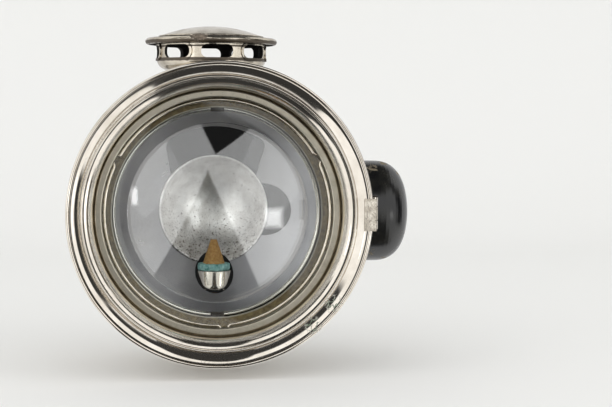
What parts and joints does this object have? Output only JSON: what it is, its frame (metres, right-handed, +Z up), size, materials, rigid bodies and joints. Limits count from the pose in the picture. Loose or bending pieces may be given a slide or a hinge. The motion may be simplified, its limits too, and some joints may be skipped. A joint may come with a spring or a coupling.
{
  "type": "acetylene lamp head",
  "caption": "Drum-shaped acetylene headlamp head with a hinged, domed-glass front door, windowed top vent, gas burner, side light hood and rear bracket socket.",
  "frame": {"origin": "middle of the slot in the rear bracket socket, on the lamp's vertical middle plane and at the height of its axis", "axes": "+Z up, along the bracket blade; -Y towards the front glass; +X to the side that has the hinge and the hood"},
  "size_m": [0.1234, 0.0995, 0.1212],
  "materials": {
    "nickel": "polished nickel plate, lightly worn",
    "reflector": "silvered, dulled and speckled",
    "steel": "darkened",
    "brass": "dulled",
    "verdigris_brass": "covered in verdigris",
    "steatite": "matt ceramic",
    "cork": "matt",
    "clear_glass": "polished",
    "ruby_glass": "polished",
    "black_enamel": "glossy stoved enamel, chipped at its edges"
  },
  "bodies": {
    "lamp_body": {"body_hinge_leaf": "nickel", "hinge_pin": "steel", "hinge_rivets": "nickel", "drum": "nickel", "mouth_ring": "nickel", "back_cover": "nickel", "reflector_ring": "steel", "reflector_dish": "reflector", "reflector_bowl": "reflector", "reflector_clips": "steel", "clip_screws": "steel", "burner_tip": "steatite", "burner_collar": "verdigris_brass", "burner_socket": "nickel", "burner_stem": "brass", "gas_boss": "nickel", "lock_nut": "brass", "gas_elbow": "brass", "gas_nipple": "brass", "vent_neck": "nickel", "flue_tube": "steel", "vent_gallery": "nickel", "vent_cap": "nickel", "side_collar": "nickel", "side_hood": "black_enamel", "telltale_ring": "nickel", "telltale_glass": "ruby_glass", "catch_foot": "nickel", "catch_rivets": "nickel", "bracket_plate": "nickel", "bracket_rivets": "nickel", "bracket_socket": "nickel"},
    "door": {"rim_ring": "nickel", "funnel": "nickel", "door_skirt": "nickel", "glass_cell": "nickel", "glass_washer": "cork", "front_glass": "clear_glass", "glass_wire": "nickel", "door_hinge_leaf": "nickel", "door_finger_lip": "nickel"},
    "catch": {"catch_blade": "nickel"},
    "clamp_pad": {"clamp_pad": "steel"},
    "clamp_screw": {"clamp_screw": "nickel"}
  },
  "joints": [
    {"name": "door_hinge", "type": "hinge", "parent": "lamp_body", "child": "door", "pos_m": [0.0537, -0.0698, 0], "axis": [0, 0, 1], "range_deg": [0, 110]},
    {"name": "catch_spring", "type": "hinge", "parent": "lamp_body", "child": "catch", "pos_m": [-0.04575, -0.0544, 0], "axis": [0, 0, -1], "range_deg": [0, 6], "stiffness_Nm_per_rad": 1.2},
    {"name": "clamp_travel", "type": "slide", "parent": "lamp_body", "child": "clamp_pad", "axis": [0, -1, 0], "range_m": [0, 0.003]},
    {"name": "clamp_turn", "type": "hinge", "parent": "clamp_pad", "child": "clamp_screw", "pos_m": [0, 0.01, 0], "axis": [0, -1, 0], "range_deg": [0, 1080]}
  ],
  "couplings": [
    {"joint": "clamp_travel", "follows": "clamp_turn", "m_per_rad": 0.00015915}
  ]
}
